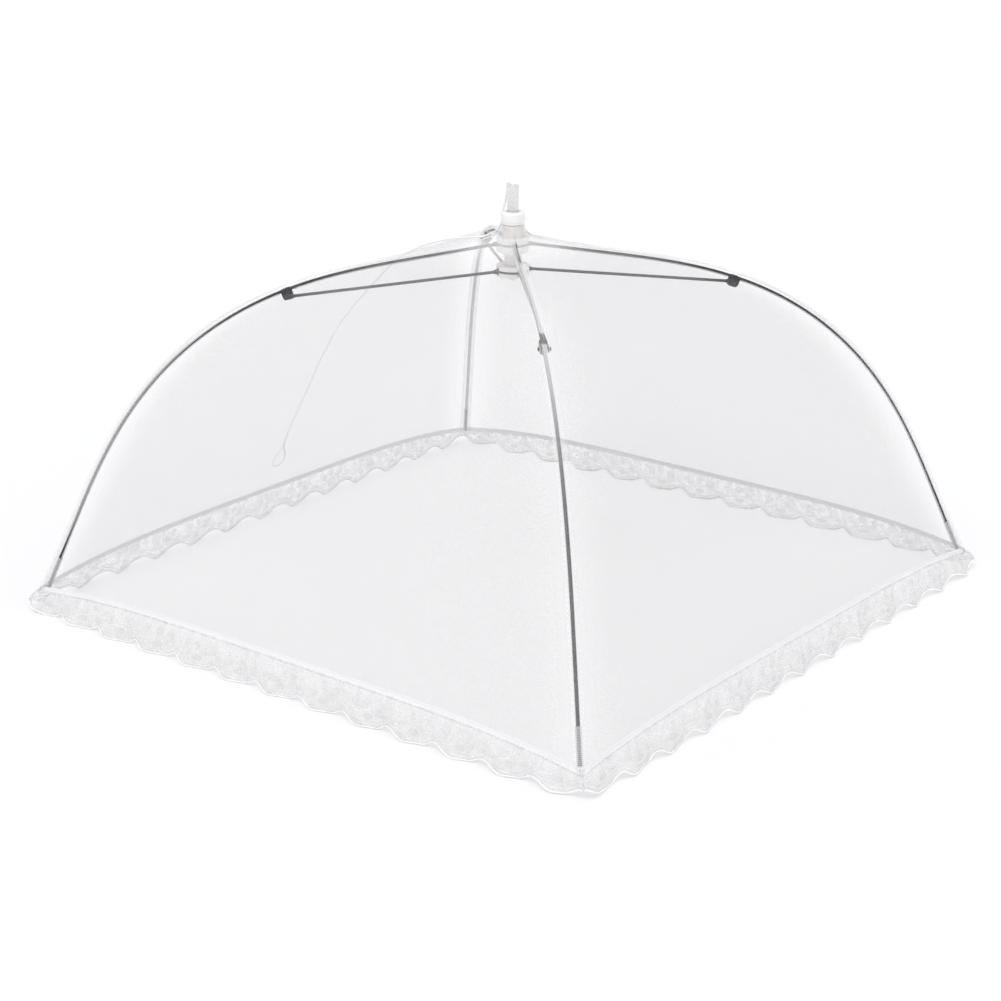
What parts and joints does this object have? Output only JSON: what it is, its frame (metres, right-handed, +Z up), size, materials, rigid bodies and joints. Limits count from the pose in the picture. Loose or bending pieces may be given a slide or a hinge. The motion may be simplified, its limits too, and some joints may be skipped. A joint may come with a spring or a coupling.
{
  "type": "mesh food cover umbrella",
  "caption": "Square folding net food cover on curved wire ribs, with a lace hem, a sliding runner, a push tube and a pull cord with a loop.",
  "frame": {"origin": "on the table under the middle of the cover", "axes": "+Z up along the crown's axis, X and Y square to the sides of the hem"},
  "size_m": [0.425, 0.425, 0.2529],
  "materials": {
    "net": "fine white polyester net",
    "tape": "white woven tape",
    "lace": "white floral lace",
    "cord": "white braided cord",
    "rib_steel": "drawn grey wire",
    "clip_steel": "pressed dark sheet",
    "plastic": "white moulded plastic",
    "tube_plastic": "milky moulded plastic"
  },
  "bodies": {
    "canopy": {"crown_hub": "plastic", "crown_ring": "rib_steel", "top_cap": "plastic", "net_panel_1": "net", "net_panel_2": "net", "net_panel_3": "net", "net_panel_4": "net", "hem_tape_1": "tape", "hem_tape_2": "tape", "hem_tape_3": "tape", "hem_tape_4": "tape", "lace_trim_1": "lace", "lace_trim_2": "lace", "lace_trim_3": "lace", "lace_trim_4": "lace", "inner_cord": "cord", "pull_cord": "cord", "loop_knot": "cord", "pull_loop": "cord"},
    "runner": {"runner_hub": "plastic", "runner_ring": "rib_steel", "push_tube": "tube_plastic", "runner_knot": "cord"},
    "rib_arm_1": {"rib_1": "rib_steel", "rib_clip_1": "clip_steel", "clip_pin_1": "rib_steel", "corner_pocket_1": "tape", "seam_tape_1": "tape"},
    "rib_arm_2": {"rib_2": "rib_steel", "rib_clip_2": "clip_steel", "clip_pin_2": "rib_steel", "corner_pocket_2": "tape", "seam_tape_2": "tape"},
    "rib_arm_3": {"rib_3": "rib_steel", "rib_clip_3": "clip_steel", "clip_pin_3": "rib_steel", "corner_pocket_3": "tape", "seam_tape_3": "tape"},
    "rib_arm_4": {"rib_4": "rib_steel", "rib_clip_4": "clip_steel", "clip_pin_4": "rib_steel", "corner_pocket_4": "tape", "seam_tape_4": "tape"},
    "strut_1": {"stretcher_1": "rib_steel", "pivot_rivet_1": "clip_steel"},
    "strut_2": {"stretcher_2": "rib_steel", "pivot_rivet_2": "clip_steel"},
    "strut_3": {"stretcher_3": "rib_steel", "pivot_rivet_3": "clip_steel"},
    "strut_4": {"stretcher_4": "rib_steel", "pivot_rivet_4": "clip_steel"}
  },
  "joints": [
    {"name": "runner_slide", "type": "slide", "parent": "canopy", "child": "runner", "axis": [0, 0, -1], "range_m": [0, 0.2024]},
    {"name": "rib_fold_1", "type": "hinge", "parent": "canopy", "child": "rib_arm_1", "pos_m": [0.00566, 0.00566, 0.21628], "axis": [-0.7071, 0.7071, 0], "range_deg": [0, 48], "deforming": ["net_panel_1", "hem_tape_1", "lace_trim_1", "seam_tape_1"]},
    {"name": "rib_fold_2", "type": "hinge", "parent": "canopy", "child": "rib_arm_2", "pos_m": [-0.00566, 0.00566, 0.21628], "axis": [-0.7071, -0.7071, 0], "range_deg": [0, 48], "deforming": ["net_panel_2", "hem_tape_2", "lace_trim_2", "seam_tape_2"]},
    {"name": "rib_fold_3", "type": "hinge", "parent": "canopy", "child": "rib_arm_3", "pos_m": [-0.00566, -0.00566, 0.21628], "axis": [0.7071, -0.7071, 0], "range_deg": [0, 48], "deforming": ["net_panel_3", "hem_tape_3", "lace_trim_3", "seam_tape_3"]},
    {"name": "rib_fold_4", "type": "hinge", "parent": "canopy", "child": "rib_arm_4", "pos_m": [0.00566, -0.00566, 0.21628], "axis": [0.7071, 0.7071, 0], "range_deg": [0, 48], "deforming": ["net_panel_4", "hem_tape_4", "lace_trim_4", "seam_tape_4"]},
    {"name": "stretcher_swing_1", "type": "hinge", "parent": "runner", "child": "strut_1", "pos_m": [0.00361, 0.00792, 0.20028], "axis": [0.7071, -0.7071, 0], "range_deg": [0, 65.15]},
    {"name": "stretcher_swing_2", "type": "hinge", "parent": "runner", "child": "strut_2", "pos_m": [-0.00792, 0.00361, 0.20028], "axis": [0.7071, 0.7071, 0], "range_deg": [0, 65.15]},
    {"name": "stretcher_swing_3", "type": "hinge", "parent": "runner", "child": "strut_3", "pos_m": [-0.00361, -0.00792, 0.20028], "axis": [-0.7071, 0.7071, 0], "range_deg": [0, 65.15]},
    {"name": "stretcher_swing_4", "type": "hinge", "parent": "runner", "child": "strut_4", "pos_m": [0.00792, -0.00361, 0.20028], "axis": [-0.7071, -0.7071, 0], "range_deg": [0, 65.15]}
  ],
  "couplings": [
    {"joint": "rib_fold_1", "follows": "runner_slide", "rad_per_m": 4.1389},
    {"joint": "rib_fold_2", "follows": "runner_slide", "rad_per_m": 4.1389},
    {"joint": "rib_fold_3", "follows": "runner_slide", "rad_per_m": 4.1389},
    {"joint": "rib_fold_4", "follows": "runner_slide", "rad_per_m": 4.1389},
    {"joint": "stretcher_swing_1", "follows": "runner_slide", "rad_per_m": 5.6165},
    {"joint": "stretcher_swing_2", "follows": "runner_slide", "rad_per_m": 5.6165},
    {"joint": "stretcher_swing_3", "follows": "runner_slide", "rad_per_m": 5.6165},
    {"joint": "stretcher_swing_4", "follows": "runner_slide", "rad_per_m": 5.6165}
  ]
}
